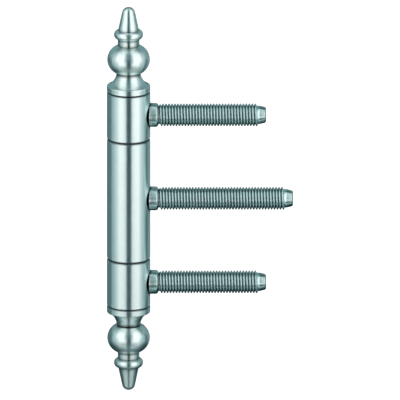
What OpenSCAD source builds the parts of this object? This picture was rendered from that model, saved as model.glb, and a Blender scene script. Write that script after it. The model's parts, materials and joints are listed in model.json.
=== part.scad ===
// Three-part drill-in hinge with turned finials, in millimetres.
// Two frame knuckles and one leaf knuckle turn on one pin. Each knuckle carries a threaded stud,
// and a finial is screwed on each end of the pin.
// +Z runs up the hinge pin, +X out along the studs. The origin is on the lower stud's axis,
// where its thread begins beside the collar, so that the hinge is placed by the hole it goes in.

/* [Knuckles] */
// Outer diameter of the knuckles, and of the finials' rims
barrel_d = 15; // [14:0.5:18]
// Length of the leaf's knuckle, in the middle
leaf_knuckle_length = 42.5; // [36:0.5:60]
// Length of each frame knuckle
frame_knuckle_length = 16.5; // [14:0.1:24]
// Chamfer round the ends of the knuckles
edge_chamfer = 0.35; // [0.2:0.05:0.6]

/* [Pin and bearings] */
// Diameter of the hinge pin
pin_d = 7; // [6:0.1:7.6]
// Diameter of the pin's threaded ends
pin_thread_d = 5; // [4:0.5:5]
// Length of the pin's threaded ends
pin_thread_length = 7.5; // [5:0.5:9]
// Radial clearance of the pin where something turns on it
running_clearance = 0.05; // [0.02:0.01:0.1]
// Wall of the bearing bushes
bush_wall = 0.9; // [0.7:0.1:1.2]
// Length of a bearing bush inside the leaf's knuckle
bush_length = 10; // [6:0.5:14]
// Thickness of a bush's flange, the ring between two knuckles
flange_thickness = 0.45; // [0.3:0.05:1]
// How far the flange stays back from the knuckles' outside
flange_setback = 0.4; // [0.3:0.1:1]
// Play between a flange and the frame knuckle that rides on it
flange_play = 0.05; // [0.03:0.01:0.1]
// Radial clearance of the leaf's knuckle from the pin between the bushes
relief_clearance = 0.35; // [0.2:0.05:0.5]
// Gap between a frame knuckle and the finial beyond it
finial_gap = 0.2; // [0.05:0.05:0.3]

/* [Studs] */
// Reach of the two frame studs, from the knuckle's outside
frame_stud_reach = 40; // [30:1:60]
// Reach of the leaf's stud, from the knuckle's outside
leaf_stud_reach = 49.3; // [35:0.1:70]
// Outer diameter of the studs' thread
thread_d = 7.9; // [6.8:0.1:8.2]
// Depth of the thread, which the relief and the plain end lie under
thread_depth = 0.6; // [0.5:0.05:0.8]
// Diameter of the collar that stops the stud
collar_d = 8.3; // [8.2:0.1:9]
// Length of the collar
collar_length = 3.3; // [2.5:0.1:5]
// Chamfer on the collar's outer end
collar_chamfer = 0.6; // [0.3:0.1:0.8]
// Rounding of the collar's inner end
collar_round = 0.3; // [0.1:0.05:0.5]
// Width of the relief between the collar and the thread
relief_width = 0.3; // [0.2:0.1:0.8]
// Depth of the flat that is cut in the knuckle for the collar
seat_depth = 0.43; // [0.3:0.01:0.8]
// Diameter of the spigot pressed into the knuckle
spigot_d = 6; // [5:0.1:6.4]
// Length of that spigot
spigot_length = 2.6; // [1.5:0.1:2.8]
// Chamfer on the spigot's end
spigot_chamfer = 0.3; // [0.1:0.1:0.5]
// Length of the plain tapered end
tip_length = 2.2; // [1.8:0.1:4]
// How much smaller in radius the plain end gets
tip_taper = 0.45; // [0.2:0.05:0.8]
// Rounding at the very end
tip_round = 0.8; // [0.3:0.1:1]

/* [Finials] */
// Height of the rim
rim_height = 2.3; // [1.6:0.05:3]
// Rounding of the rim's edge beside the flare
rim_round = 0.35; // [0.2:0.05:0.6]
// Radius of the hollow flare between the rim and the ball
flare_radius = 5.75; // [5:0.05:7]
// Radius of the waist at the top of the flare
waist_radius = 4.1; // [3.8:0.05:4.4]
// Height of the waist's centre
waist_height = 7.2; // [6.9:0.1:7.6]
// Radius of the ball's outline
ball_round = 5.25; // [5:0.05:5.5]
// Distance of that outline's centre from the axis
ball_offset = 2.1; // [1.8:0.05:2.1]
// Height of the ball's centre
ball_height = 11.5; // [11.3:0.1:12]
// Height of the flat shoulder that ends the ball over the waist
shoulder_height = 7; // [6.8:0.05:7.2]
// Radius of the neck over the ball
neck_radius = 3.75; // [3.2:0.05:4.2]
// Radius of the bead's outline
bead_round = 1.6; // [1.4:0.05:1.8]
// Distance of the bead's centre from the axis
bead_offset = 3.45; // [3.2:0.05:3.8]
// Height of the bead's centre
bead_height = 20.45; // [19.5:0.05:21.5]
// Radius of the tapered tip where it leaves the bead
taper_radius = 3.6; // [3.2:0.05:3.8]
// Rounding at the top of the tip
top_round = 2.3; // [1.8:0.05:2.6]
// Whole height of a finial
finial_height = 30.3; // [28:0.1:36]
// How much deeper the tapped hole is than the thread in it
tap_spare = 1.5; // [1:0.5:3]
// Radial clearance of the thread in the tapped hole
tap_clearance = 0.03; // [0.02:0.01:0.05]

/* [Hidden] */

$fn = 96;
steel_colour = [0.66, 0.75, 0.75];
stud_colour = [0.60, 0.70, 0.71];
bush_colour = [0.45, 0.44, 0.42];

// Bench sizes that nothing outside depends on
overcut = 1;
bush_spare = 0.5;
bush_chamfer = 0.3;
pin_chamfer = 0.4;
drill_point_angle = 59;
corner_steps = 6;

// Radii about the hinge pin
barrel_r = barrel_d / 2;
pin_r = pin_d / 2;
pin_thread_r = pin_thread_d / 2;
running_r = pin_r + running_clearance;
bush_r = running_r + bush_wall;
flange_r = barrel_r - flange_setback;

// Heights, counted from the middle of the leaf's knuckle
leaf_end_z = leaf_knuckle_length / 2;
frame_start_z = leaf_end_z + flange_thickness + flange_play;
frame_end_z = frame_start_z + frame_knuckle_length;
finial_z = frame_end_z + finial_gap;
frame_stud_z = (frame_start_z + frame_end_z) / 2;

// Distances from the hinge pin's axis, along a stud
seat_x = barrel_r - seat_depth;
spigot_end_x = seat_x - spigot_length;
collar_end_x = seat_x + collar_length;
thread_start_x = collar_end_x + relief_width;

// Radii about a stud's axis
spigot_r = spigot_d / 2;
collar_r = collar_d / 2;
thread_r = thread_d / 2;
root_r = thread_r - thread_depth;
tip_r = root_r - tip_taper;

// Points of a rounded corner about its centre, from one angle to another
function corner(centre, radius, from, to) = [
    for (step = [0:corner_steps])
        let (angle = from + (to - from) * step / corner_steps)
            centre + radius * [cos(angle), sin(angle)]
];

// Height at which a disc of an outline leaves a given radius, at its upper side
function disc_top(radius, offset_x, height, at_radius) =
    height + sqrt(radius * radius - pow(at_radius - offset_x, 2));

// Places what is drawn about the hinge pin, at a height from the middle, in the part's own frame
module in_place(height = 0) {
    translate([-thread_start_x, 0, frame_stud_z + height])
        children();
}

// Turned tube, chamfered round both ends
module tube(length, bore_radius) {
    half = length / 2;
    rotate_extrude()
        polygon([
            [bore_radius, -half],
            [barrel_r - edge_chamfer, -half],
            [barrel_r, -half + edge_chamfer],
            [barrel_r, half - edge_chamfer],
            [barrel_r - edge_chamfer, half],
            [bore_radius, half]
        ]);
}

// Flat for a stud's collar, and the hole through it into the bore for the stud's spigot
module stud_seat() {
    rotate([0, 90, 0]) {
        translate([0, 0, seat_x])
            cylinder(r = collar_r, h = barrel_r);
        cylinder(r = spigot_r, h = barrel_r);
    }
}

module frame_knuckle(bore_radius) {
    difference() {
        tube(frame_knuckle_length, bore_radius);
        stud_seat();
    }
}

module upper_knuckle() {
    color(steel_colour)
        in_place(frame_stud_z)
            frame_knuckle(running_r);
}

// The pin is a push fit here, so it stays with this knuckle
module lower_knuckle() {
    color(steel_colour)
        in_place(-frame_stud_z)
            frame_knuckle(pin_r);
}

// Seat of a bush, bored into the upper end of the leaf's knuckle
module bush_seat() {
    translate([0, 0, leaf_end_z - bush_length - bush_spare])
        cylinder(r = bush_r, h = bush_length + bush_spare + overcut);
}

// Bored for a bush at both ends, and clear of the pin between them
module middle_knuckle() {
    color(steel_colour)
        in_place()
            difference() {
                tube(leaf_knuckle_length, pin_r + relief_clearance);
                bush_seat();
                mirror([0, 0, 1])
                    bush_seat();
                stud_seat();
            }
}

// Stud, turned about Z and laid along X: spigot, collar, relief, thread and tapered end
module stud(reach) {
    end_x = barrel_r + reach;
    tip_start_x = end_x - tip_length;
    rotate([0, 90, 0])
        rotate_extrude()
            polygon(concat(
                [
                    [0, spigot_end_x],
                    [spigot_r - spigot_chamfer, spigot_end_x],
                    [spigot_r, spigot_end_x + spigot_chamfer],
                    [spigot_r, seat_x]
                ],
                corner([collar_r - collar_round, seat_x + collar_round], collar_round, -90, 0),
                [
                    [collar_r, collar_end_x - collar_chamfer],
                    [collar_r - collar_chamfer, collar_end_x],
                    [root_r, collar_end_x],
                    [thread_r, thread_start_x],
                    [thread_r, tip_start_x - thread_depth],
                    [root_r, tip_start_x]
                ],
                corner([tip_r - tip_round, end_x - tip_round], tip_round, 0, 90),
                [[0, end_x]]
            ));
}

module upper_stud() {
    color(stud_colour)
        in_place(frame_stud_z)
            stud(frame_stud_reach);
}

module middle_stud() {
    color(stud_colour)
        in_place()
            stud(leaf_stud_reach);
}

module lower_stud() {
    color(stud_colour)
        in_place(-frame_stud_z)
            stud(frame_stud_reach);
}

// Flanged bush, its flange upwards, drawn from the end face that it is pressed into
module bush() {
    rotate_extrude()
        polygon([
            [running_r, -bush_length],
            [bush_r - bush_chamfer, -bush_length],
            [bush_r, -bush_length + bush_chamfer],
            [bush_r, 0],
            [flange_r, 0],
            [flange_r, flange_thickness],
            [running_r, flange_thickness]
        ]);
}

module upper_bush() {
    color(bush_colour)
        in_place(leaf_end_z)
            bush();
}

module lower_bush() {
    color(bush_colour)
        in_place(-leaf_end_z)
            mirror([0, 0, 1])
                bush();
}

// Rod with a shoulder and a threaded end for each finial
module hinge_pin() {
    end_z = finial_z + pin_thread_length;
    color(steel_colour)
        in_place()
            rotate_extrude()
                polygon([
                    [0, -end_z],
                    [pin_thread_r - pin_chamfer, -end_z],
                    [pin_thread_r, -end_z + pin_chamfer],
                    [pin_thread_r, -finial_z],
                    [pin_r, -finial_z],
                    [pin_r, finial_z],
                    [pin_thread_r, finial_z],
                    [pin_thread_r, end_z - pin_chamfer],
                    [pin_thread_r - pin_chamfer, end_z],
                    [0, end_z]
                ]);
}

// Disc of an outline, cut off at the axis
module outline_disc(radius, offset_x, height) {
    intersection() {
        translate([offset_x, height])
            circle(r = radius);
        translate([0, height - radius])
            square([offset_x + radius, 2 * radius]);
    }
}

// Ball, ended by a flat shoulder over the waist
module ball_outline() {
    intersection() {
        outline_disc(ball_round, ball_offset, ball_height);
        translate([0, shoulder_height])
            square([ball_offset + ball_round, 2 * ball_round]);
    }
}

// Rim with a chamfer below and a rounded edge above
module rim_outline() {
    polygon(concat(
        [
            [0, 0],
            [barrel_r - edge_chamfer, 0],
            [barrel_r, edge_chamfer]
        ],
        corner([barrel_r - rim_round, rim_height - rim_round], rim_round, 0, 90),
        [[0, rim_height]]
    ));
}

// Hollow flare that draws in from the rim to the waist
module flare_outline() {
    difference() {
        square([barrel_r - rim_round, waist_height]);
        translate([waist_radius + flare_radius, waist_height])
            circle(r = flare_radius);
    }
}

// Straight taper from the top of the bead, tangent to the rounded top
module taper_outline() {
    start_z = disc_top(bead_round, bead_offset, bead_height, taper_radius);
    top_z = finial_height - top_round;
    rise = top_z - start_z;
    lean = acos(top_round / norm([taper_radius, rise])) - atan2(rise, taper_radius);
    polygon([
        [0, bead_height],
        [taper_radius, bead_height],
        [taper_radius, start_z],
        [top_round * cos(lean), top_z + top_round * sin(lean)],
        [0, top_z + top_round * sin(lean)]
    ]);
}

// Tapped hole with its drill point
module tapped_hole_outline() {
    hole_r = pin_thread_r + tap_clearance;
    depth = pin_thread_length + tap_spare;
    polygon([
        [0, -overcut],
        [hole_r, -overcut],
        [hole_r, depth],
        [0, depth + hole_r / tan(drill_point_angle)]
    ]);
}

// Turned finial, standing on its rim
module finial() {
    rotate_extrude()
        difference() {
            union() {
                rim_outline();
                flare_outline();
                ball_outline();
                translate([0, ball_height])
                    square([neck_radius, bead_height - ball_height]);
                outline_disc(bead_round, bead_offset, bead_height);
                taper_outline();
                outline_disc(top_round, 0, finial_height - top_round);
            }
            tapped_hole_outline();
        }
}

module upper_finial() {
    color(steel_colour)
        in_place(finial_z)
            finial();
}

module lower_finial() {
    color(steel_colour)
        in_place(-finial_z)
            mirror([0, 0, 1])
                finial();
}

upper_knuckle();
middle_knuckle();
lower_knuckle();
upper_stud();
middle_stud();
lower_stud();
upper_bush();
lower_bush();
hinge_pin();
upper_finial();
lower_finial();
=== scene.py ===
"""Finish, stud threads and studio stage of a three-part drill-in hinge with turned finials."""

import json
import math

import bmesh
import bpy
from bpy.props import (
    FloatProperty,
    FloatVectorProperty,
    IntProperty,
    PointerProperty,
)
from bpy.types import Operator, Panel, PropertyGroup
from mathutils import Matrix, Vector


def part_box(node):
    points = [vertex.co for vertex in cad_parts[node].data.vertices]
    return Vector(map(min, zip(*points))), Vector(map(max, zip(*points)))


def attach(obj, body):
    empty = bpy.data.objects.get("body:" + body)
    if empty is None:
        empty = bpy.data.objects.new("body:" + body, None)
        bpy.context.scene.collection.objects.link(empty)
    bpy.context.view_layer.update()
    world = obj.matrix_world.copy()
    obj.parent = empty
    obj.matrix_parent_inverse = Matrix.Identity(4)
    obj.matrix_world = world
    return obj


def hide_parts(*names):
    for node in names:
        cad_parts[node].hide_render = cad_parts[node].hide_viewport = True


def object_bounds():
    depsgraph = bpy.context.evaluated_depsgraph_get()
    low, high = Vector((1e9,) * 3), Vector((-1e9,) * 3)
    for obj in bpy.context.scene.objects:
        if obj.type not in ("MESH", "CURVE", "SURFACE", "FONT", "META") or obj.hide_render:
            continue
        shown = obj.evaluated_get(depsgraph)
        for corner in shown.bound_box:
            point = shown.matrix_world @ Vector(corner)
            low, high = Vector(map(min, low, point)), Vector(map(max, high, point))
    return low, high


bl_info = {
    "name": "Drill-in hinge finish",
    "version": (1, 0, 0),
    "blender": (4, 5, 0),
    "location": "View3D > Sidebar > Hinge",
    "description": "Threads, metal finishes and a studio stage for a drill-in hinge",
    "category": "Object",
}

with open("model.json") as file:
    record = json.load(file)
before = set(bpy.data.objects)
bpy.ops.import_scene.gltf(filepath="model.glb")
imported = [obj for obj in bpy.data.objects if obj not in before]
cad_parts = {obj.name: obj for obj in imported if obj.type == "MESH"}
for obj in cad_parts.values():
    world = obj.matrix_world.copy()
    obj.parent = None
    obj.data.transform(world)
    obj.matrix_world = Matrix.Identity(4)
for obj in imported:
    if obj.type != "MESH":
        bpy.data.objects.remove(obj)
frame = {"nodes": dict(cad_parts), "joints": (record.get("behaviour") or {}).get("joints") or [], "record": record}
CAD_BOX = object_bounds()

STUDS = ("upper_stud", "middle_stud", "lower_stud")
KNUCKLES = ("upper_knuckle", "middle_knuckle", "lower_knuckle")
FINIALS = ("upper_finial", "lower_finial")
BUSHES = ("upper_bush", "lower_bush")
MM = 0.001


def body_of_node(node):
    """Name of the moving body that holds a CAD node."""
    for body, members in frame["record"]["behaviour"]["bodies"].items():
        if node in members:
            return body
    raise RuntimeError(f"no body holds {node}")


def mount(name):
    """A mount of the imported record, by name."""
    for entry in frame["record"]["mounts"]:
        if entry["name"] == name:
            return entry
    raise RuntimeError(f"no mount is named {name}")


def hinge_axis():
    """A point on the hinge pin's axis, from the leaf's joint."""
    joint = next(j for j in frame["joints"] if j["child"] == body_of_node("middle_knuckle"))
    return Vector(joint["pos_m"])


# Settings


class HingeSteelSettings(PropertyGroup):
    tint: FloatVectorProperty(
        name="Tint",
        description="Colour of the plated steel",
        subtype="COLOR",
        size=3,
        min=0.0,
        max=1.0,
        default=(0.84, 0.955, 0.945),
    )
    stud_tint: FloatVectorProperty(
        name="Stud tint",
        description="Colour of the zinc plate on the studs",
        subtype="COLOR",
        size=3,
        min=0.0,
        max=1.0,
        default=(0.74, 0.90, 0.90),
    )
    # Painted shade: a darker copy of the stud colour for the tapered ends, which face bright lamps
    shaded_end_tint: FloatVectorProperty(
        name="End tint",
        description="Colour of the zinc plate on the studs' tapered ends",
        subtype="COLOR",
        size=3,
        min=0.0,
        max=1.0,
        default=(0.45, 0.58, 0.58),
    )
    thread_tint: FloatVectorProperty(
        name="Thread tint",
        description="Colour of the zinc plate on the studs' threads",
        subtype="COLOR",
        size=3,
        min=0.0,
        max=1.0,
        default=(0.68, 0.87, 0.87),
    )
    roughness: FloatProperty(
        name="Roughness",
        description="Roughness of the satin knuckles and finials",
        subtype="FACTOR",
        min=0.05,
        max=0.8,
        default=0.33,
    )
    collar_roughness: FloatProperty(
        name="Collar roughness",
        description="Roughness of the turned collars and ends of the studs",
        subtype="FACTOR",
        min=0.05,
        max=0.8,
        default=0.26,
    )
    thread_roughness: FloatProperty(
        name="Thread roughness",
        description="Roughness of the studs' threads",
        subtype="FACTOR",
        min=0.05,
        max=0.8,
        default=0.27,
    )
    thread_metallic: FloatProperty(
        name="Thread metallic",
        description="Share of the threads' plating that mirrors; the rest is dull",
        subtype="FACTOR",
        min=0.0,
        max=1.0,
        default=0.95,
    )
    stud_stretch: FloatProperty(
        name="Stud stretch",
        description="How much the turning marks of the collars spread reflections along the stud",
        subtype="FACTOR",
        min=0.0,
        max=1.0,
        default=0.75,
    )
    stretch: FloatProperty(
        name="Stretch",
        description="How much the turning marks spread reflections along the axis",
        subtype="FACTOR",
        min=0.0,
        max=1.0,
        default=0.9,
    )
    finial_roughness: FloatProperty(
        name="Finial roughness",
        description="Roughness of the satin finials",
        subtype="FACTOR",
        min=0.05,
        max=0.8,
        default=0.31,
    )
    finial_stretch: FloatProperty(
        name="Finial stretch",
        description="How much the turning marks of the finials spread reflections along the axis",
        subtype="FACTOR",
        min=0.0,
        max=1.0,
        default=0.75,
    )
    ring_spacing: FloatProperty(
        name="Turning mark spacing",
        description="Distance between the fine rings left by the lathe",
        subtype="DISTANCE",
        min=0.00002,
        max=0.002,
        default=0.00018,
    )
    ring_depth: FloatProperty(
        name="Turning mark strength",
        description="Strength of the rings left by the lathe",
        subtype="FACTOR",
        min=0.0,
        max=1.0,
        default=0.06,
    )
    # Painted shade: width of the gaps and corners that are darkened in colour
    crevice_shade_reach: FloatProperty(
        name="Crevice reach",
        description="Width of the gaps and corners that the plating stays dark in",
        subtype="DISTANCE",
        min=0.0,
        max=0.005,
        default=0.0013,
    )
    # Painted shade: how far the finials are darkened under their overhangs
    overhang_shade_reach: FloatProperty(
        name="Overhang reach",
        description="How far the finials' overhangs darken the metal under them",
        subtype="DISTANCE",
        min=0.0,
        max=0.005,
        default=0.0015,
    )
    # Painted shade: share of its colour that a surface keeps deep in a gap
    crevice_shade_tone: FloatProperty(
        name="Crevice tone",
        description="Share of its colour that the plating keeps deep in a gap",
        subtype="FACTOR",
        min=0.0,
        max=1.0,
        default=0.02,
    )


class HingeThreadSettings(PropertyGroup):
    pitch: FloatProperty(
        name="Pitch",
        description="Advance of the stud thread in one turn",
        subtype="DISTANCE",
        min=0.0005,
        max=0.002,
        default=0.001026,
    )
    depth: FloatProperty(
        name="Depth",
        description="Depth of the stud thread from crest to root",
        subtype="DISTANCE",
        min=0.0003,
        max=0.001,
        default=0.00076,
    )
    crest_share: FloatProperty(
        name="Crest share",
        description="Share of the pitch that the crest takes",
        subtype="FACTOR",
        min=0.02,
        max=0.4,
        default=0.14,
    )
    root_share: FloatProperty(
        name="Root share",
        description="Share of the pitch that the root takes",
        subtype="FACTOR",
        min=0.02,
        max=0.4,
        default=0.06,
    )
    fullness: FloatProperty(
        name="Fullness",
        description="Shape of the flanks: full and round-backed when low, thin when high",
        min=0.6,
        max=2.0,
        default=1.1,
    )
    start_turn: FloatProperty(
        name="Start",
        description="Where round the stud the thread begins, in turns from its far side",
        subtype="FACTOR",
        min=0.0,
        max=1.0,
        default=0.14,
    )
    run_in: FloatProperty(
        name="Run-in",
        description="Share of a turn in which the thread grows to its height, and runs out",
        subtype="FACTOR",
        min=0.05,
        max=1.0,
        default=0.14,
    )
    steps_round: IntProperty(
        name="Steps round",
        description="Vertices in one turn of the thread",
        min=24,
        max=128,
        default=72,
    )
    steps_across: IntProperty(
        name="Steps across",
        description="Vertices across one pitch of the thread",
        min=6,
        max=24,
        default=12,
    )


class HingeStudSettings(PropertyGroup):
    collar_length: FloatProperty(
        name="Collar length",
        description="Length of the plain collar beside the knuckle",
        subtype="DISTANCE",
        default=3.25 * MM,
    )
    collar_chamfer: FloatProperty(
        name="Collar chamfer",
        description="Chamfer on the collar's outer end",
        subtype="DISTANCE",
        default=0.5 * MM,
    )
    collar_round: FloatProperty(
        name="Collar rounding",
        description="Rounding of the collar's edges",
        subtype="DISTANCE",
        default=0.3 * MM,
    )
    relief: FloatProperty(
        name="Relief",
        description="How far the collar ends before the thread's beginning in the record",
        subtype="DISTANCE",
        default=0.42 * MM,
    )
    spigot_radius: FloatProperty(
        name="Spigot radius",
        description="Radius of the spigot pressed into the knuckle",
        subtype="DISTANCE",
        default=3.0 * MM,
    )
    tip_length: FloatProperty(
        name="Tip length",
        description="Length of the plain tapered end",
        subtype="DISTANCE",
        default=2.2 * MM,
    )
    tip_taper: FloatProperty(
        name="Tip taper",
        description="How much smaller in radius the plain end gets",
        subtype="DISTANCE",
        default=0.37 * MM,
    )
    tip_round: FloatProperty(
        name="Tip rounding",
        description="Rounding at the very end of a stud",
        subtype="DISTANCE",
        default=0.8 * MM,
    )


class HingeStageSettings(PropertyGroup):
    elevation: FloatProperty(
        name="Camera elevation",
        description="How far the camera looks down on the hinge",
        subtype="ANGLE",
        default=math.radians(16.1),
    )
    camera_distance: FloatProperty(
        name="Camera distance",
        description="Distance of the parallel camera from its aim",
        subtype="DISTANCE",
        default=2.0,
    )
    view_width: FloatProperty(
        name="View width",
        description="Width of the picture at the hinge",
        subtype="DISTANCE",
        default=0.1381,
    )
    aim_along_studs: FloatProperty(
        name="Aim along the studs",
        description="Distance of the picture's centre from the hinge pin's axis",
        subtype="DISTANCE",
        default=0.02466,
    )
    aim_below_middle: FloatProperty(
        name="Aim below the middle",
        description="How far the picture's centre lies below the middle stud's axis",
        subtype="DISTANCE",
        default=0.0006,
    )
    floor_drop: FloatProperty(
        name="Floor drop",
        description="Height of the hinge over the floor",
        subtype="DISTANCE",
        default=0.14,
    )
    tent_radius: FloatProperty(
        name="Tent radius",
        description="Distance of the panels from the hinge",
        subtype="DISTANCE",
        default=0.40,
    )
    lamp_level: FloatProperty(
        name="Lamp level",
        description="Brightness of the lamps, where 1 is white",
        default=1.36,
    )
    floor_colour: FloatVectorProperty(
        name="Floor colour",
        description="Colour of the floor and of the background",
        subtype="COLOR",
        size=3,
        min=0.0,
        max=1.0,
        default=(1.0, 1.0, 1.0),
    )
    card_tint: FloatVectorProperty(
        name="Card tint",
        description="Colour of the darkest cards that shape the reflections",
        subtype="COLOR",
        size=3,
        min=0.0,
        max=1.0,
        default=(0.0, 0.03, 0.04),
    )
    dim_tint: FloatVectorProperty(
        name="Dim tint",
        description="Colour of the tent's back",
        subtype="COLOR",
        size=3,
        min=0.0,
        max=1.0,
        default=(0.09, 0.165, 0.175),
    )


class HingeSettings(PropertyGroup):
    steel: PointerProperty(type=HingeSteelSettings)
    thread: PointerProperty(type=HingeThreadSettings)
    stud: PointerProperty(type=HingeStudSettings)
    stage: PointerProperty(type=HingeStageSettings)


# Materials


def node_material(name):
    """An empty node material with its Principled shader and output, and helpers to grow it."""
    material = bpy.data.materials.new(name)
    material.use_nodes = True
    tree = material.node_tree
    shader = tree.nodes["Principled BSDF"]
    return material, tree, shader


def link(tree, source, target):
    tree.links.new(source, target)


def turning_marks(tree, along, spacing):
    """Noise that varies only along the turning axis: the height of fine rings."""
    place = tree.nodes.new("ShaderNodeTexCoord")
    squeeze = tree.nodes.new("ShaderNodeMapping")
    squeeze.vector_type = "POINT"
    frequency = 1.0 / spacing
    spread = frequency * 0.004
    scale = [spread, spread, spread]
    scale["XYZ".index(along)] = frequency
    squeeze.inputs["Scale"].default_value = scale
    rings = tree.nodes.new("ShaderNodeTexNoise")
    rings.inputs["Scale"].default_value = 1.0
    rings.inputs["Detail"].default_value = 2.0
    rings.inputs["Roughness"].default_value = 0.6
    link(tree, place.outputs["Object"], squeeze.inputs["Vector"])
    link(tree, squeeze.outputs["Vector"], rings.inputs["Vector"])
    return place, rings


def cloudy(tree, place, scale, detail):
    """Slow noise for the uneven plating."""
    clouds = tree.nodes.new("ShaderNodeTexNoise")
    clouds.inputs["Scale"].default_value = scale
    clouds.inputs["Detail"].default_value = detail
    link(tree, place.outputs["Object"], clouds.inputs["Vector"])
    return clouds


def spread_range(tree, source, low, high):
    """Maps a noise, which mostly lies between 0.3 and 0.7, to a range of values."""
    reach = tree.nodes.new("ShaderNodeMapRange")
    reach.inputs["From Min"].default_value = 0.3
    reach.inputs["From Max"].default_value = 0.7
    reach.inputs["To Min"].default_value = low
    reach.inputs["To Max"].default_value = high
    link(tree, source, reach.inputs["Value"])
    return reach.outputs["Result"]


def painted_crevice_shade(tree, reach, tone, closed):
    """Painted shade in gaps, grooves and corners: a level from tone, where the surface's open share falls to closed,
    up to 1.
    """
    openness = tree.nodes.new("ShaderNodeAmbientOcclusion")
    openness.samples = 12
    openness.inputs["Distance"].default_value = reach
    level = tree.nodes.new("ShaderNodeMapRange")
    level.inputs["From Min"].default_value = closed
    level.inputs["From Max"].default_value = 0.98
    level.inputs["To Min"].default_value = tone
    link(tree, openness.outputs["AO"], level.inputs["Value"])
    return level.outputs["Result"]


def painted_overhang_shade(tree, place, level):
    """Keeps a painted shade only where the surface faces down or level, as under a rim or a ball."""
    facing = tree.nodes.new("ShaderNodeSeparateXYZ")
    link(tree, place.outputs["Normal"], facing.inputs["Vector"])
    share = tree.nodes.new("ShaderNodeMapRange")
    share.inputs["From Min"].default_value = 0.9
    share.inputs["From Max"].default_value = 0.65
    link(tree, facing.outputs["Z"], share.inputs["Value"])
    kept = tree.nodes.new("ShaderNodeMix")
    kept.inputs["A"].default_value = 1.0
    link(tree, share.outputs["Result"], kept.inputs["Factor"])
    link(tree, level, kept.inputs["B"])
    return kept.outputs["Result"]


def shaded(tree, colour, level):
    """A colour, darkened by a level."""
    product = tree.nodes.new("ShaderNodeMix")
    product.data_type = "RGBA"
    product.blend_type = "MULTIPLY"
    product.inputs["Factor"].default_value = 1.0
    link(tree, colour, product.inputs["A"])
    link(tree, level, product.inputs["B"])
    return product.outputs["Result"]


def plated_steel(
    name, tint, roughness, stretch, along, steel, tone, closed, reach, metallic=1.0, below=False
):
    """Satin plated steel, turned about one axis.

    The lathe's rings spread reflections along that axis and leave them sharp round it. Its colour carries painted
    shade in gaps and corners, and, where below is set, on surfaces under overhangs.
    """
    material, tree, shader = node_material(name)
    place, rings = turning_marks(tree, along, steel.ring_spacing)
    clouds = cloudy(tree, place, 160.0, 3.0)
    colour = tree.nodes.new("ShaderNodeMix")
    colour.data_type = "RGBA"
    colour.inputs["A"].default_value = (*[c * 0.94 for c in tint], 1.0)
    colour.inputs["B"].default_value = (*[min(1.0, c * 1.03) for c in tint], 1.0)
    link(tree, clouds.outputs["Fac"], colour.inputs["Factor"])
    # Painted shade: the colour darkens in gaps, grooves and corners, down to tone
    painted_shade_level = painted_crevice_shade(tree, reach, tone, closed)
    # Painted shade under overhangs: the darkening is kept only on surfaces that face down or level
    if below:
        painted_shade_level = painted_overhang_shade(tree, place, painted_shade_level)
    link(tree, shaded(tree, colour.outputs["Result"], painted_shade_level), shader.inputs["Base Color"])
    shader.inputs["Metallic"].default_value = metallic
    rough = spread_range(tree, rings.outputs["Fac"], roughness - 0.03, roughness + 0.03)
    link(tree, rough, shader.inputs["Roughness"])
    grooves = tree.nodes.new("ShaderNodeTangent")
    grooves.direction_type = "RADIAL"
    grooves.axis = along
    link(tree, grooves.outputs["Tangent"], shader.inputs["Tangent"])
    shader.inputs["Anisotropic"].default_value = stretch
    shader.inputs["Anisotropic Rotation"].default_value = 0.25
    bump = tree.nodes.new("ShaderNodeBump")
    bump.inputs["Strength"].default_value = steel.ring_depth
    bump.inputs["Distance"].default_value = 0.00002
    link(tree, rings.outputs["Fac"], bump.inputs["Height"])
    link(tree, bump.outputs["Normal"], shader.inputs["Normal"])
    return material


def bearing_plastic(name, colour):
    """Matte bearing plastic with a fine grain."""
    material, tree, shader = node_material(name)
    place = tree.nodes.new("ShaderNodeTexCoord")
    grain = cloudy(tree, place, 4000.0, 2.0)
    clouds = cloudy(tree, place, 300.0, 2.0)
    mix = tree.nodes.new("ShaderNodeMix")
    mix.data_type = "RGBA"
    mix.inputs["A"].default_value = (*[c * 0.85 for c in colour], 1.0)
    mix.inputs["B"].default_value = (*colour, 1.0)
    link(tree, clouds.outputs["Fac"], mix.inputs["Factor"])
    link(tree, mix.outputs["Result"], shader.inputs["Base Color"])
    rough = spread_range(tree, grain.outputs["Fac"], 0.45, 0.6)
    link(tree, rough, shader.inputs["Roughness"])
    bump = tree.nodes.new("ShaderNodeBump")
    bump.inputs["Strength"].default_value = 0.2
    bump.inputs["Distance"].default_value = 0.00002
    link(tree, grain.outputs["Fac"], bump.inputs["Height"])
    link(tree, bump.outputs["Normal"], shader.inputs["Normal"])
    return material


def paint(obj, *materials):
    """Puts materials in an object's slots, in place of what is there.

    Clearing the slots would set the material number of every face back to 0.
    """
    slots = obj.data.materials
    for index, material in enumerate(materials):
        if index < len(slots):
            slots[index] = material
        else:
            slots.append(material)


# Shapes


def arc(centre, radius, start, end, steps):
    """Points of a rounded corner as (distance along the axis, radius), angles in degrees."""
    points = []
    for step in range(steps + 1):
        angle = math.radians(start + (end - start) * step / steps)
        points.append((centre[0] + radius * math.cos(angle), centre[1] + radius * math.sin(angle)))
    return points


def thread_height(share, thread):
    """Height of the thread, 0 at the root to 1 at the crest, at a share of the pitch from the root."""
    from_crest = abs(share - 0.5) * 2.0
    slope = (1.0 - thread.root_share - from_crest) / (1.0 - thread.root_share - thread.crest_share)
    level = min(1.0, max(0.0, slope))
    return math.sin(level * math.pi / 2.0) ** thread.fullness


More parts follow.
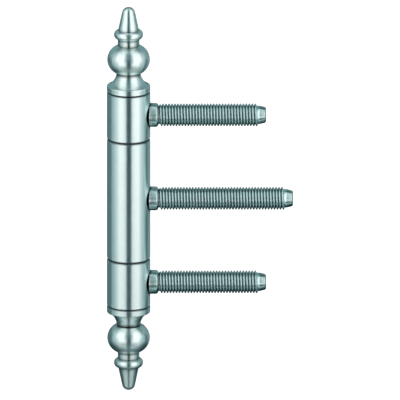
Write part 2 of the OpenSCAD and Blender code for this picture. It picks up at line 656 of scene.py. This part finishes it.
class StudShape:
    """Mesh of one stud: plain rings, a helical thread between them, and an end.

    Its faces take the first material on the collar and spigot, the second on the thread and the
    third on the tapered end.
    """

    def __init__(self, count):
        self.mesh = bmesh.new()
        self.count = count
        self.material = 0

    def point(self, along, radius, angle):
        place = (along, radius * math.cos(angle), radius * math.sin(angle))
        return self.mesh.verts.new(place)

    def face(self, corners):
        self.mesh.faces.new(corners).material_index = self.material

    def ring(self, along, radius):
        turn = 2.0 * math.pi / self.count
        return [self.point(along, radius, turn * step) for step in range(self.count)]

    def band(self, first, second):
        for step in range(self.count):
            after = (step + 1) % self.count
            self.face((first[step], first[after], second[after], second[step]))

    def turned(self, outline):
        """Rings along an outline of (distance, radius), joined by bands."""
        rings = [self.ring(along, radius) for along, radius in outline]
        for first, second in zip(rings, rings[1:]):
            self.band(first, second)
        return rings[0], rings[-1]

    def cap(self, ring, along, flip):
        centre = self.mesh.verts.new((along, 0.0, 0.0))
        for step in range(self.count):
            after = (step + 1) % self.count
            corners = (ring[after], ring[step], centre) if flip else (ring[step], ring[after], centre)
            self.face(corners)

    def helix(self, start, end, root, depth, thread):
        """A right-hand thread from one ring to another, which it grows out of and runs out into."""
        across = thread.steps_across
        total = int((end - start) / thread.pitch - 1.0) * self.count
        heights = [thread_height(step / across, thread) for step in range(across)]
        run_in = thread.run_in * self.count
        rows = []
        for row in range(total + self.count):
            angle = 2.0 * math.pi * (row + self.turned_by(thread)) / self.count
            along = start + thread.pitch * row / self.count
            grow = min(1.0, row / run_in)
            fade = min(1.0, max(0.0, (total - row) / run_in))
            points = []
            for step, height in enumerate(heights):
                radius = root + depth * height * min(grow, fade)
                points.append(self.point(along + thread.pitch * step / across, radius, angle))
            rows.append(points)
            if row >= total:
                for spare in points[1:]:
                    self.mesh.verts.remove(spare)
                rows[-1] = points[:1]
        for row in range(total - 1):
            here = rows[row] + [rows[row + self.count][0]]
            after = rows[row + 1] + [rows[row + 1 + self.count][0]]
            for step in range(across):
                self.face((here[step], after[step], after[step + 1], here[step + 1]))
        return rows, total

    def turned_by(self, thread):
        """The vertex of a ring that the thread begins at."""
        return round(thread.start_turn * self.count)

    def thread(self, first, last, start, end, root, depth, settings):
        """The helix with the two strips that join it to plain rings."""
        self.material = 1
        rows, total = self.helix(start, end, root, depth, settings)
        count = self.count
        begin = self.turned_by(settings)
        first = first[begin:] + first[:begin]
        last = last[begin:] + last[:begin]
        for step in range(count - 1):
            self.face((first[step], first[step + 1], rows[step + 1][0], rows[step][0]))
        start_row = rows[0] + [rows[count][0]]
        self.face([first[count - 1], first[0], *start_row, rows[count - 1][0]])
        tail = [rows[row][0] for row in range(total, total + count)]
        for step in range(count - 1):
            here, after = (total + step) % count, (total + step + 1) % count
            self.face((tail[step], tail[step + 1], last[after], last[here]))
        end_row = rows[total - 1] + [tail[count - 1]]
        here, after = (total - 1) % count, total % count
        self.face([*end_row, last[here], last[after], tail[0]])

    def finish(self, name, place):
        bmesh.ops.recalc_face_normals(self.mesh, faces=self.mesh.faces)
        data = bpy.data.meshes.new(name)
        self.mesh.to_mesh(data)
        self.mesh.free()
        for polygon in data.polygons:
            polygon.use_smooth = True
        data.transform(Matrix.Translation(place))
        obj = bpy.data.objects.new(name, data)
        bpy.context.scene.collection.objects.link(obj)
        return obj


def build_stud(node, stud, thread):
    """One threaded stud in the place of its CAD node, measured from the thread's beginning."""
    seat = mount(node)
    low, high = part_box(node)
    place = Vector(seat["pos_m"])
    crest = seat["dims"]["r_mm"] * MM
    root = crest - thread.depth
    collar = (high.y - low.y) / 2.0
    spigot_end = low.x - place.x
    stud_end = high.x - place.x
    collar_end = -stud.relief
    collar_start = collar_end - stud.collar_length
    tip_start = stud_end - stud.tip_length
    tip = root - stud.tip_taper
    bevel = stud.collar_round
    soft = stud.collar_round / 2.0
    inner = [
        (spigot_end, stud.spigot_radius - bevel),
        (spigot_end + bevel, stud.spigot_radius),
        (collar_start, stud.spigot_radius),
    ]
    inner += arc((collar_start + bevel, collar - bevel), bevel, 180, 90, 5)
    inner += arc((collar_end - stud.collar_chamfer - soft, collar - soft), soft, 90, 45, 2)
    inner += [
        (collar_end, collar - stud.collar_chamfer),
        (collar_end + soft / 2.0, root),
    ]
    round_at = (stud_end - stud.tip_round, tip - stud.tip_round)
    outer = [(tip_start, root)] + arc(round_at, stud.tip_round, 80, 0, 8)
    shape = StudShape(thread.steps_round)
    head, thread_first = shape.turned(inner)
    shape.cap(head, spigot_end, False)
    shape.material = 2
    thread_last, end_ring = shape.turned(outer)
    shape.cap(end_ring, stud_end, True)
    shape.thread(thread_first, thread_last, inner[-1][0], tip_start, root, crest - root, thread)
    return shape.finish(f"{node}_threaded", place)


# Operators


class HINGE_OT_studs(Operator):
    """Cuts a true right-hand thread on the three studs"""

    bl_idname = "hinge.studs"
    bl_label = "Threaded studs"

    def execute(self, context):
        settings = context.scene.hinge
        steel = settings.steel
        # All three stud finishes carry painted shade in gaps and corners, the thread's roots down to 0.4 of their
        # colour
        turned = plated_steel(
            "stud_turned", steel.stud_tint, steel.collar_roughness, steel.stud_stretch, "X", steel,
            steel.crevice_shade_tone, 0.5, steel.crevice_shade_reach,
        )
        rolled = plated_steel(
            "stud_thread", steel.thread_tint, steel.thread_roughness, 0.0, "X", steel, 0.4, 0.24,
            steel.crevice_shade_reach, steel.thread_metallic,
        )
        # The tapered ends take a darker copy of the stud colour: painted shade against the bright lamps they reflect
        end = plated_steel(
            "stud_end", steel.shaded_end_tint, steel.collar_roughness, steel.stud_stretch, "X", steel,
            steel.crevice_shade_tone, 0.5, steel.crevice_shade_reach,
        )
        for node in STUDS:
            piece = build_stud(node, settings.stud, settings.thread)
            paint(piece, turned, rolled, end)
            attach(piece, body_of_node(node))
            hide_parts(node)
        return {"FINISHED"}


class HINGE_OT_turned_parts(Operator):
    """Gives the knuckles, finials and pin their satin plated finish"""

    bl_idname = "hinge.turned_parts"
    bl_label = "Turned parts"

    def execute(self, context):
        steel = context.scene.hinge.steel
        # The knuckles, finials and pin carry painted shade in their joints and corners
        satin = plated_steel(
            "satin_plate", steel.tint, steel.roughness, steel.stretch, "Z", steel,
            steel.crevice_shade_tone, 0.6, steel.crevice_shade_reach,
        )
        for node in KNUCKLES:
            paint(frame["nodes"][node], satin)
        # The finials take the knuckles' tint at 0.93: a darker copy of the same metal, painted shade that tones down
        # their highlights
        curved = plated_steel(
            "satin_finial", [0.93 * c for c in steel.tint], steel.finial_roughness, steel.finial_stretch, "Z", steel,
            # below: painted shade under the finials' overhangs
            steel.crevice_shade_tone, 0.7, steel.overhang_shade_reach, below=True,
        )
        for node in FINIALS:
            paint(frame["nodes"][node], curved)
        ground = plated_steel(
            "ground_pin", steel.stud_tint, steel.collar_roughness, steel.stretch, "Z", steel,
            steel.crevice_shade_tone, 0.6, steel.crevice_shade_reach,
        )
        paint(frame["nodes"]["hinge_pin"], ground)
        return {"FINISHED"}


class HINGE_OT_bushes(Operator):
    """Gives the two bearing bushes their matte plastic"""

    bl_idname = "hinge.bushes"
    bl_label = "Bearing bushes"

    def execute(self, context):
        plastic = bearing_plastic("bearing_plastic", (0.03, 0.05, 0.05))
        for node in BUSHES:
            paint(frame["nodes"][node], plastic)
        return {"FINISHED"}


def glow_material(name, colour, level):
    """Plain emission for a diffuser or a card of the tent."""
    material = bpy.data.materials.new(name)
    material.use_nodes = True
    tree = material.node_tree
    tree.nodes.remove(tree.nodes["Principled BSDF"])
    glow = tree.nodes.new("ShaderNodeEmission")
    glow.inputs["Color"].default_value = (*colour, 1.0)
    glow.inputs["Strength"].default_value = level
    link(tree, glow.outputs["Emission"], tree.nodes["Material Output"].inputs["Surface"])
    return material


def sight_rays(tree):
    """1 for a ray that shows the background: straight, by reflection or through glass."""
    path = tree.nodes.new("ShaderNodeLightPath")
    seen = path.outputs["Is Camera Ray"]
    for kind in ("Is Glossy Ray", "Is Transmission Ray"):
        either = tree.nodes.new("ShaderNodeMath")
        either.operation = "MAXIMUM"
        link(tree, seen, either.inputs[0])
        link(tree, path.outputs[kind], either.inputs[1])
        seen = either.outputs["Value"]
    return seen


def floor_material(colour):
    """Pale floor that takes the shadow and is nearly white to the camera."""
    material, tree, shader = node_material("pale_floor")
    shader.inputs["Base Color"].default_value = (*[c * 0.8 for c in colour], 1.0)
    shader.inputs["Roughness"].default_value = 0.9
    shader.inputs["Specular IOR Level"].default_value = 0.0
    level = tree.nodes.new("ShaderNodeMath")
    level.operation = "MULTIPLY"
    level.inputs[1].default_value = 0.95
    link(tree, sight_rays(tree), level.inputs[0])
    shader.inputs["Emission Color"].default_value = (*colour, 1.0)
    link(tree, level.outputs["Value"], shader.inputs["Emission Strength"])
    return material


def add_mesh(name, points, faces, material):
    """A mesh of the stage, in the scene."""
    data = bpy.data.meshes.new(name)
    data.from_pydata(points, [], faces)
    data.materials.append(material)
    obj = bpy.data.objects.new(name, data)
    bpy.context.scene.collection.objects.link(obj)
    return obj


def tent_panel(name, centre, radius, azimuths, elevations, material):
    """A piece of the tent round the hinge, which only reflections see.

    Azimuth 0 is the camera's side and grows to the right; elevation 0 is level.
    """
    columns = max(2, round(abs(azimuths[1] - azimuths[0]) / 4.0))
    rows = max(2, round(abs(elevations[1] - elevations[0]) / 4.0))
    points = []
    for row in range(rows + 1):
        tilt = math.radians(elevations[0] + (elevations[1] - elevations[0]) * row / rows)
        for column in range(columns + 1):
            turn = math.radians(azimuths[0] + (azimuths[1] - azimuths[0]) * column / columns)
            ray = Vector((
                math.cos(tilt) * math.sin(turn),
                -math.cos(tilt) * math.cos(turn),
                math.sin(tilt),
            ))
            points.append(centre + radius * ray)
    wide = columns + 1
    faces = [
        (row * wide + column, row * wide + column + 1,
         (row + 1) * wide + column + 1, (row + 1) * wide + column)
        for row in range(rows)
        for column in range(columns)
    ]
    obj = add_mesh(name, points, faces, material)
    obj.visible_camera = False
    obj.visible_diffuse = False
    obj.visible_shadow = False
    return obj


def softbox(name, place, target, size, level):
    """A square lamp that faces a target and lights it, but stays out of the reflections."""
    data = bpy.data.lights.new(name, "AREA")
    data.shape = "SQUARE"
    data.size = size
    data.energy = level * math.pi * size * size
    obj = bpy.data.objects.new(name, data)
    obj.location = place
    obj.rotation_mode = "QUATERNION"
    obj.rotation_quaternion = (Vector(target) - Vector(place)).to_track_quat("-Z", "Y")
    obj.visible_glossy = False
    bpy.context.scene.collection.objects.link(obj)
    return obj


# Panels of the tent: name, tone, azimuths and elevations in degrees
TENT = (
    ("strip", "dark", (-10.5, 14.0), (-80.0, 24.0)),
    ("strip_high", "dim", (-10.5, 14.0), (24.0, 46.0)),
    ("strip_top", "dim", (-22.0, 25.0), (46.0, 72.0)),
    ("key_left_low", "dim", (-54.0, -13.5), (-46.0, -23.0)),
    ("key_right_low", "dim", (17.0, 60.0), (-46.0, -23.0)),
    ("key_left", "lamp", (-54.0, -13.5), (-23.0, 4.0)),
    ("key_right", "lamp", (17.0, 60.0), (-23.0, 4.0)),
    ("key_left_high", "lamp", (-57.0, -24.0), (4.0, 46.0)),
    ("key_right_high", "lamp", (27.0, 60.0), (4.0, 46.0)),
    ("beside_strip_left", "grey", (-24.0, -10.5), (4.0, 46.0)),
    ("beside_strip_right", "grey", (14.0, 27.0), (4.0, 46.0)),
    ("left_1", "light", (-74.0, -55.0), (-35.0, 6.0)),
    ("right_1", "light", (61.0, 78.0), (-35.0, 6.0)),
    ("left_1_high", "lamp", (-76.0, -58.0), (6.0, 46.0)),
    ("right_1_high", "lamp", (61.0, 78.0), (6.0, 46.0)),
    ("left_2", "grey", (-98.0, -75.0), (-35.0, 6.0)),
    ("right_2", "grey", (79.0, 98.0), (-35.0, 6.0)),
    ("left_2_high", "light", (-98.0, -77.0), (6.0, 46.0)),
    ("right_2_high", "light", (79.0, 98.0), (6.0, 46.0)),
    ("back_left", "dim", (-180.0, -99.0), (-40.0, 12.0)),
    ("back_left_high", "rim", (-180.0, -120.0), (13.0, 46.0)),
    ("side_left_high", "grey", (-120.0, -99.0), (13.0, 46.0)),
    ("side_right_high", "grey", (99.0, 120.0), (13.0, 46.0)),
    ("back_right_1", "dim", (99.0, 126.0), (-40.0, 12.0)),
    ("edge_right", "rim", (127.0, 156.0), (-40.0, 12.0)),
    ("back_right_2", "dark", (157.0, 180.0), (-40.0, 12.0)),
    ("back_right_high", "rim", (120.0, 180.0), (13.0, 46.0)),
    ("top_front_left", "sky", (-100.0, -22.0), (46.0, 72.0)),
    ("top_front_right", "sky", (25.0, 100.0), (46.0, 72.0)),
    ("crown_left", "sky", (-100.0, -45.0), (72.0, 90.0)),
    ("crown_middle", "rim", (-45.0, 50.0), (72.0, 90.0)),
    ("crown_right", "sky", (50.0, 100.0), (72.0, 90.0)),
    ("top_back", "grey", (100.0, 260.0), (75.0, 90.0)),
    ("top_back_low", "dim", (100.0, 260.0), (46.0, 75.0)),
)


class HINGE_OT_stage(Operator):
    """Sets the floor, the backdrop, the lamps, the tent of panels and the camera"""

    bl_idname = "hinge.stage"
    bl_label = "Stage"

    def execute(self, context):
        stage = context.scene.hinge.stage
        centre = hinge_axis()
        self.place_camera(context, stage, centre)
        self.set_world(context, stage)
        self.lay_floor(stage)
        self.set_lamps(stage, centre)
        self.set_tent(stage, centre)
        context.scene.view_settings.view_transform = "Standard"
        return {"FINISHED"}

    def place_camera(self, context, stage, centre):
        data = bpy.data.cameras.new("camera")
        camera = bpy.data.objects.new("camera", data)
        context.scene.collection.objects.link(camera)
        data.type = "ORTHO"
        data.ortho_scale = stage.view_width
        data.clip_end = 100.0
        aim = centre + Vector((stage.aim_along_studs, 0.0, -stage.aim_below_middle))
        back = Vector((0.0, -math.cos(stage.elevation), math.sin(stage.elevation)))
        camera.location = aim + back * stage.camera_distance
        camera.rotation_mode = "QUATERNION"
        camera.rotation_quaternion = (-back).to_track_quat("-Z", "Y")
        context.scene.camera = camera

    def set_world(self, context, stage):
        world = bpy.data.worlds.new("studio")
        context.scene.world = world
        world.use_nodes = True
        tree = world.node_tree
        ground = tree.nodes["Background"]
        ground.inputs["Color"].default_value = (*stage.floor_colour, 1.0)
        level = tree.nodes.new("ShaderNodeMapRange")
        level.inputs["To Min"].default_value = 0.25
        level.inputs["To Max"].default_value = 1.0
        link(tree, sight_rays(tree), level.inputs["Value"])
        link(tree, level.outputs["Result"], ground.inputs["Strength"])

    def floor_height(self, stage):
        return CAD_BOX[0].z - stage.floor_drop

    def lay_floor(self, stage):
        height = self.floor_height(stage)
        reach = 6.0
        corners = [
            (-reach, -reach, height), (reach, -reach, height),
            (reach, reach, height), (-reach, reach, height),
        ]
        add_mesh("floor", corners, [(0, 1, 2, 3)], floor_material(stage.floor_colour))

    def set_lamps(self, stage, centre):
        for name, azimuth, elevation, level in (
            ("lamp_left", -38.0, 35.0, 1.0),
            ("lamp_right", 40.0, 35.0, 1.0),
            ("lamp_top", 0.0, 80.0, 0.8),
        ):
            turn, tilt = math.radians(azimuth), math.radians(elevation)
            ray = Vector((
                math.cos(tilt) * math.sin(turn),
                -math.cos(tilt) * math.cos(turn),
                math.sin(tilt),
            ))
            place = centre + 2.0 * stage.tent_radius * ray
            softbox(name, place, centre, 0.4, stage.lamp_level * level)

    def set_tent(self, stage, centre):
        tones = {
            "lamp": glow_material("diffuser", (1.0, 1.0, 0.99), stage.lamp_level),
            "sky": glow_material("top_diffuser", (0.88, 0.96, 0.95), 1.2),
            "light": glow_material("light_card", (0.60, 0.72, 0.71), 1.0),
            "grey": glow_material("grey_card", (0.38, 0.54, 0.55), 1.0),
            "dim": glow_material("dim_card", stage.dim_tint, 1.0),
            "rim": glow_material("rim_card", (0.20, 0.33, 0.34), 1.0),
            "near": glow_material("near_card", (0.60, 0.72, 0.71), 1.0),
            "dark": glow_material("dark_card", stage.card_tint, 1.0),
        }
        for name, tone, azimuths, elevations in TENT:
            tent_panel(f"tent_{name}", centre, stage.tent_radius, azimuths, elevations, tones[tone])
        height = self.floor_height(stage) + 0.005
        reach = 2.0 * stage.tent_radius
        left, right = centre.x - reach, centre.x + reach
        front = add_mesh(
            "card_under_front",
            [(left, -reach, height), (right, -reach, height), (right, 0.0, height), (left, 0.0, height)],
            [(0, 1, 2, 3)],
            glow_material("under_card", (0.09, 0.15, 0.155), 1.0),
        )
        behind = add_mesh(
            "card_under_back",
            [(left, 0.0, height), (right, 0.0, height), (right, reach, height), (left, reach, height)],
            [(0, 1, 2, 3)],
            tones["dark"],
        )
        near = []
        for side in (-1.0, 1.0):
            corners = [
                (centre.x + side * across, -ahead, height + 0.001)
                for across, ahead in ((0.015, 0.08), (0.3, 0.08), (0.3, 0.19), (0.038, 0.19))
            ]
            near.append(add_mesh(f"card_near_{len(near)}", corners, [(0, 1, 2, 3)], tones["near"]))
        for sheet in (front, behind, *near):
            sheet.visible_camera = False
            sheet.visible_diffuse = False
            sheet.visible_shadow = False


class HINGE_PT_panel(Panel):
    """Lists the hinge's making steps"""

    bl_idname = "HINGE_PT_panel"
    bl_label = "Drill-in hinge"
    bl_space_type = "VIEW_3D"
    bl_region_type = "UI"
    bl_category = "Hinge"

    def draw(self, context):
        layout = self.layout
        settings = context.scene.hinge
        for step in STEPS:
            layout.operator(step.bl_idname)
        for group in (settings.steel, settings.thread, settings.stud, settings.stage):
            box = layout.box()
            for name in group.__annotations__:
                box.prop(group, name)


STEPS = (HINGE_OT_stage, HINGE_OT_turned_parts, HINGE_OT_bushes, HINGE_OT_studs)
CLASSES = (
    HingeSteelSettings,
    HingeThreadSettings,
    HingeStudSettings,
    HingeStageSettings,
    HingeSettings,
    *STEPS,
    HINGE_PT_panel,
)


def register():
    for cls in CLASSES:
        bpy.utils.register_class(cls)
    bpy.types.Scene.hinge = PointerProperty(type=HingeSettings)


def unregister():
    del bpy.types.Scene.hinge
    for cls in reversed(CLASSES):
        bpy.utils.unregister_class(cls)


def main():
    register()
    bpy.ops.hinge.stage()
    bpy.ops.hinge.turned_parts()
    bpy.ops.hinge.bushes()
    bpy.ops.hinge.studs()


if __name__ == "__main__":
    main()
